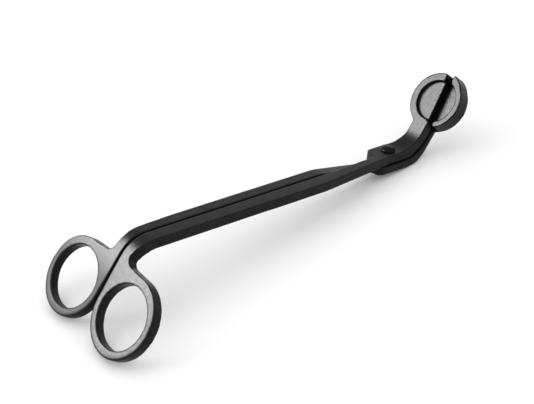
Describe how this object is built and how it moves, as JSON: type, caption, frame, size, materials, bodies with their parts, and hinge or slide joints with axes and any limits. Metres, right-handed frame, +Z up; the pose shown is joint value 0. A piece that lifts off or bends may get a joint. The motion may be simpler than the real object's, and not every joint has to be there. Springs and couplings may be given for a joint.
{
  "type": "wick trimmer",
  "caption": "Long bent scissors for candle wicks, with finger rings, a riveted crossing and a round two-part jaw that holds the trimmed end.",
  "frame": {"origin": "centre of the bounding box at its lowest face, as the trimmer lies on a table", "axes": "+X from the finger rings to the jaw, +Y towards the back arm's ring, +Z up from the table"},
  "size_m": [0.1824, 0.0578, 0.0312],
  "materials": {
    "arm_coating": "satin black",
    "rivet_coating": "satin black"
  },
  "bodies": {
    "back_half": {"back_arm": "arm_coating", "pivot_rivet": "rivet_coating"},
    "front_half": {"front_arm": "arm_coating"}
  },
  "joints": [
    {"name": "arm_pivot", "type": "hinge", "parent": "back_half", "child": "front_half", "pos_m": [0.05357, 0.0016, 0.00489], "axis": [0.1678, 0, 0.9858], "range_deg": [0, 25]}
  ]
}
